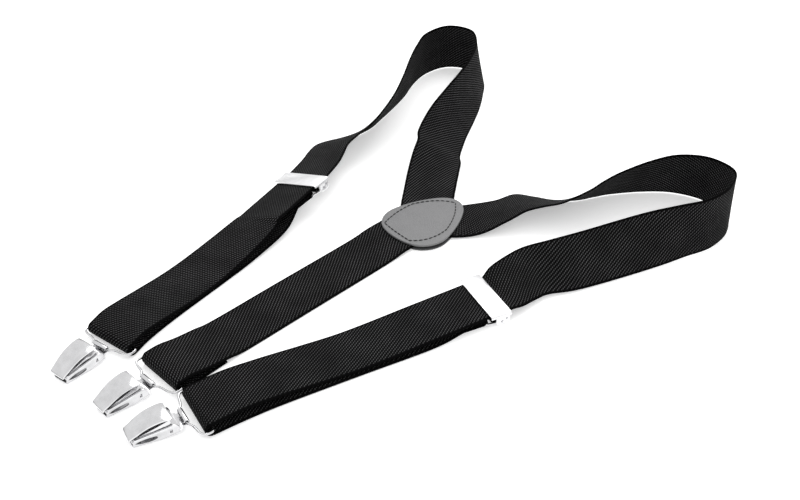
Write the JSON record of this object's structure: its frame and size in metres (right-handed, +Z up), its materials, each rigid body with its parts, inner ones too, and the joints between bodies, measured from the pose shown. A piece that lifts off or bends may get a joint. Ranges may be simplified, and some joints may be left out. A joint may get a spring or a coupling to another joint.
{
  "type": "suspenders",
  "caption": "Y-back elastic suspenders with a leather yoke, slide adjusters with toothed levers, wire rings and cover-lever clips, lying folded with standing shoulder loops.",
  "frame": {"origin": "centre of the underside of the leather yoke, on the surface that the suspenders lie on", "axes": "+Z up from the surface, +Y from the back strap's clip towards the shoulder loops, +X to the right strap"},
  "size_m": [0.2899, 0.4311, 0.0359],
  "materials": {
    "webbing": "ribbed elastic webbing, matt black",
    "leather": "smooth satin leather",
    "backing": "split leather, matt",
    "chrome": "bright plated steel",
    "steel": "plain steel pin",
    "rubber": "black ribbed pad"
  },
  "bodies": {
    "straps": {"yoke_backing": "backing", "yoke_leather": "leather", "back_strap": "webbing", "left_front_strap": "webbing", "right_front_strap": "webbing", "left_under_run": "webbing", "right_under_run": "webbing"},
    "left_adjuster": {"left_adjuster_face": "chrome", "left_adjuster_pivot": "steel", "left_adjuster_bar": "steel"},
    "left_adjuster_lever": {"left_adjuster_lever": "chrome", "left_end_tab": "webbing"},
    "right_adjuster": {"right_adjuster_face": "chrome", "right_adjuster_pivot": "steel", "right_adjuster_bar": "steel"},
    "right_adjuster_lever": {"right_adjuster_lever": "chrome", "right_end_tab": "webbing"},
    "left_ring": {"left_ring": "chrome"},
    "left_clip": {"left_clip_base": "chrome", "left_clip_jaw_pin": "steel", "left_clip_lever_pin": "steel", "left_clip_lower_pad": "rubber"},
    "left_jaw": {"left_clip_jaw": "chrome", "left_clip_upper_pad": "rubber"},
    "left_cover": {"left_clip_lever": "chrome"},
    "back_ring": {"back_ring": "chrome"},
    "back_clip": {"back_clip_base": "chrome", "back_clip_jaw_pin": "steel", "back_clip_lever_pin": "steel", "back_clip_lower_pad": "rubber"},
    "back_jaw": {"back_clip_jaw": "chrome", "back_clip_upper_pad": "rubber"},
    "back_cover": {"back_clip_lever": "chrome"},
    "right_ring": {"right_ring": "chrome"},
    "right_clip": {"right_clip_base": "chrome", "right_clip_jaw_pin": "steel", "right_clip_lever_pin": "steel", "right_clip_lower_pad": "rubber"},
    "right_jaw": {"right_clip_jaw": "chrome", "right_clip_upper_pad": "rubber"},
    "right_cover": {"right_clip_lever": "chrome"}
  },
  "joints": [
    {"name": "left_adjuster_slide", "type": "slide", "parent": "straps", "child": "left_adjuster", "axis": [-0.2418, 0.9699, 0.03], "range_m": [-0.024, 0], "deforming": ["left_under_run"]},
    {"name": "left_adjuster_open", "type": "hinge", "parent": "left_adjuster", "child": "left_adjuster_lever", "pos_m": [-0.08118, -0.0327, 0.00937], "axis": [0.9453, 0.1185, 0.304], "range_deg": [0, 45], "deforming": ["left_under_run"]},
    {"name": "right_adjuster_slide", "type": "slide", "parent": "straps", "child": "right_adjuster", "axis": [0.2419, 0.9702, 0.012], "range_m": [-0.032, 0], "deforming": ["right_under_run"]},
    {"name": "right_adjuster_open", "type": "hinge", "parent": "right_adjuster", "child": "right_adjuster_lever", "pos_m": [0.08354, -0.03189, 0.0028], "axis": [0.9455, -0.3256, -0.0011], "range_deg": [0, 45], "deforming": ["right_under_run"]},
    {"name": "left_ring_swing", "type": "hinge", "parent": "straps", "child": "left_ring", "pos_m": [-0.04563, -0.2094, 0.00435], "axis": [-0.9903, -0.1392, 0], "range_deg": [-80, 80]},
    {"name": "left_clip_swing", "type": "hinge", "parent": "left_ring", "child": "left_clip", "pos_m": [-0.0442, -0.2196, 0.00435], "axis": [-0.9903, -0.1392, 0], "range_deg": [-60, 45]},
    {"name": "left_jaw_open", "type": "hinge", "parent": "left_clip", "child": "left_jaw", "pos_m": [-0.04288, -0.22901, 0.0046], "axis": [-0.9903, -0.1392, 0], "range_deg": [0, 1]},
    {"name": "left_cover_open", "type": "hinge", "parent": "left_clip", "child": "left_cover", "pos_m": [-0.04002, -0.24931, 0.0047], "axis": [0.9903, 0.1392, 0], "range_deg": [0, 65]},
    {"name": "back_ring_swing", "type": "hinge", "parent": "straps", "child": "back_ring", "pos_m": [-0.00093, -0.2075, 0.00435], "axis": [-0.9997, 0.0262, 0], "range_deg": [-80, 80]},
    {"name": "back_clip_swing", "type": "hinge", "parent": "back_ring", "child": "back_clip", "pos_m": [-0.0012, -0.2178, 0.00435], "axis": [-0.9997, 0.0262, 0], "range_deg": [-60, 45]},
    {"name": "back_jaw_open", "type": "hinge", "parent": "back_clip", "child": "back_jaw", "pos_m": [-0.00145, -0.2273, 0.0046], "axis": [-0.9997, 0.0262, 0], "range_deg": [0, 1]},
    {"name": "back_cover_open", "type": "hinge", "parent": "back_clip", "child": "back_cover", "pos_m": [-0.00199, -0.24779, 0.0047], "axis": [0.9997, -0.0262, 0], "range_deg": [0, 65]},
    {"name": "right_ring_swing", "type": "hinge", "parent": "straps", "child": "right_ring", "pos_m": [0.03804, -0.211, 0.00435], "axis": [-0.9613, 0.2756, 0], "range_deg": [-80, 80]},
    {"name": "right_clip_swing", "type": "hinge", "parent": "right_ring", "child": "right_clip", "pos_m": [0.0352, -0.2209, 0.00435], "axis": [-0.9613, 0.2756, 0], "range_deg": [-60, 45]},
    {"name": "right_jaw_open", "type": "hinge", "parent": "right_clip", "child": "right_jaw", "pos_m": [0.03258, -0.23003, 0.0046], "axis": [-0.9613, 0.2756, 0], "range_deg": [0, 1]},
    {"name": "right_cover_open", "type": "hinge", "parent": "right_clip", "child": "right_cover", "pos_m": [0.02693, -0.24974, 0.0047], "axis": [0.9613, -0.2756, 0], "range_deg": [0, 65]}
  ],
  "couplings": [
    {"joint": "left_jaw_open", "follows": "left_cover_open", "ratio": 0.015385},
    {"joint": "back_jaw_open", "follows": "back_cover_open", "ratio": 0.015385},
    {"joint": "right_jaw_open", "follows": "right_cover_open", "ratio": 0.015385}
  ]
}
